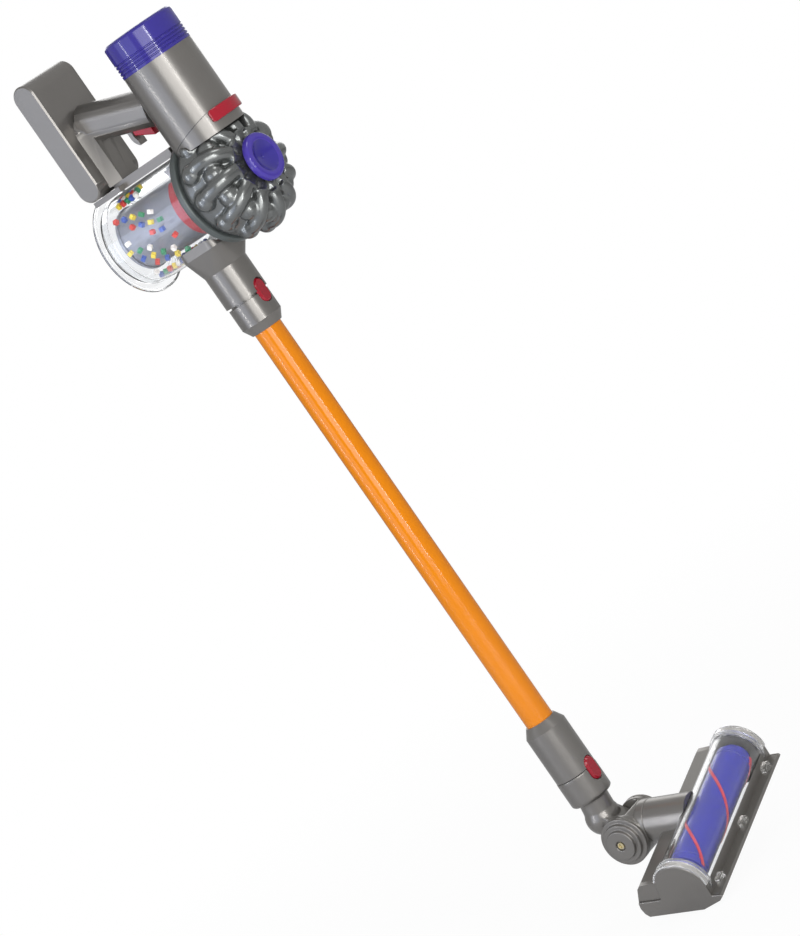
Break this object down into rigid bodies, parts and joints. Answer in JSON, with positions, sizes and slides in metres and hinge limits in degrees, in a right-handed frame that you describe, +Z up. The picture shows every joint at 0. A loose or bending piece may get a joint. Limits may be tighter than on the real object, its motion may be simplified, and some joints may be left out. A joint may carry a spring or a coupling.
{
  "type": "toy stick vacuum cleaner",
  "caption": "Toy cordless stick vacuum with raked grip, motor barrel, cyclone cluster, clear bead bin, tube wand and hinged swivel floor head with a turning roller.",
  "frame": {"origin": "middle of the grip, on the axis of the wand", "axes": "+X to the front, where the cyclones are; +Y to the far side; +Z up along the wand"},
  "size_m": [0.149, 0.1359, 0.681],
  "materials": {
    "grey": "metallic grey moulded plastic, glossy",
    "dark": "dark grey moulded plastic, glossy",
    "iron": "gunmetal moulded plastic, glossy",
    "purple": "purple metallic moulded plastic, glossy",
    "red": "red moulded plastic, glossy",
    "orange": "orange moulded plastic, satin gloss",
    "clear": "clear moulded styrene",
    "pale": "pale grey moulded plastic",
    "steel": "plated steel",
    "violet": "blue violet foam-covered plastic",
    "black": "black plastic",
    "cell": "printed cell jacket",
    "ivory": "natural nylon",
    "bead_red": "red foam bead",
    "bead_blue": "blue foam bead",
    "bead_yellow": "yellow foam bead",
    "bead_green": "green foam bead",
    "bead_white": "white foam bead"
  },
  "bodies": {
    "main": {"body_near": "grey", "body_far": "grey", "filter_cap": "purple", "front_housing": "grey", "cyclone_cluster": "iron", "cyclone_boss": "purple", "skirt_ring": "dark", "bin_tube": "clear", "bin_lid": "clear", "bin_shroud": "pale", "shroud_ring": "red", "shroud_fins": "pale", "beads_red": "bead_red", "beads_blue": "bead_blue", "beads_yellow": "bead_yellow", "beads_green": "bead_green", "beads_white": "bead_white", "bin_rail": "grey", "inlet_neck": "grey", "trigger_switch": "black", "trigger_spring": "steel", "motor": "steel", "battery_cells": "cell", "battery_contacts": "steel", "battery_door": "grey", "door_screw": "steel", "body_screws": "steel"},
    "latch": {"release_latch": "red"},
    "rotor": {"motor_shaft": "steel", "fan": "ivory"},
    "trigger": {"trigger": "red"},
    "neck_button": {"neck_button": "red"},
    "wand": {"wand_cuff": "grey", "wand_tube": "orange", "lower_cuff": "grey"},
    "cuff_button": {"cuff_button": "red"},
    "elbow": {"elbow": "grey"},
    "swivel": {"swivel_housing": "grey", "hinge_axle": "steel", "hinge_cap_near": "grey", "hinge_cap_far": "grey", "hinge_screws": "steel"},
    "head": {"head_base": "grey", "end_plate_near": "grey", "end_plate_far": "grey", "head_cover": "clear", "cover_clips": "clear", "roller_axle": "steel", "sole_plate": "dark", "sole_screws": "steel"},
    "roller": {"roller": "violet", "roller_strips": "red"}
  },
  "joints": [
    {"name": "latch_slide", "type": "slide", "parent": "main", "child": "latch", "axis": [0, 0, 1], "range_m": [0, 0.003]},
    {"name": "fan_spin", "type": "hinge", "parent": "main", "child": "rotor", "pos_m": [0.0518, 0, 0], "axis": [0, 0, 1], "continuous": true},
    {"name": "trigger_press", "type": "slide", "parent": "main", "child": "trigger", "axis": [0, 0, 1], "range_m": [0, 0.0025], "stiffness_N_per_m": 600, "springref_m": -0.0008},
    {"name": "neck_button_press", "type": "slide", "parent": "main", "child": "neck_button", "axis": [-1, 0, 0], "range_m": [0, 0.0009], "stiffness_N_per_m": 800, "springref_m": -0.0005},
    {"name": "wand_pull", "type": "slide", "parent": "main", "child": "wand", "axis": [0, 0, -1], "range_m": [0, 0.03]},
    {"name": "cuff_button_press", "type": "slide", "parent": "wand", "child": "cuff_button", "axis": [-1, 0, 0], "range_m": [0, 0.0009], "stiffness_N_per_m": 800, "springref_m": -0.0005},
    {"name": "head_pull", "type": "slide", "parent": "wand", "child": "elbow", "axis": [0, 0, -1], "range_m": [0, 0.02]},
    {"name": "elbow_hinge", "type": "hinge", "parent": "elbow", "child": "swivel", "pos_m": [0.014, 0, -0.5767], "axis": [0, 1, 0], "range_deg": [-14, 56]},
    {"name": "neck_swivel", "type": "hinge", "parent": "swivel", "child": "head", "pos_m": [0.01521, 0, -0.57185], "axis": [0.9703, 0, -0.2419], "range_deg": [-58, 26]},
    {"name": "roller_spin", "type": "hinge", "parent": "head", "child": "roller", "pos_m": [0.07196, 0.00105, -0.58976], "axis": [0.0667, 0.9613, 0.2674], "continuous": true}
  ]
}
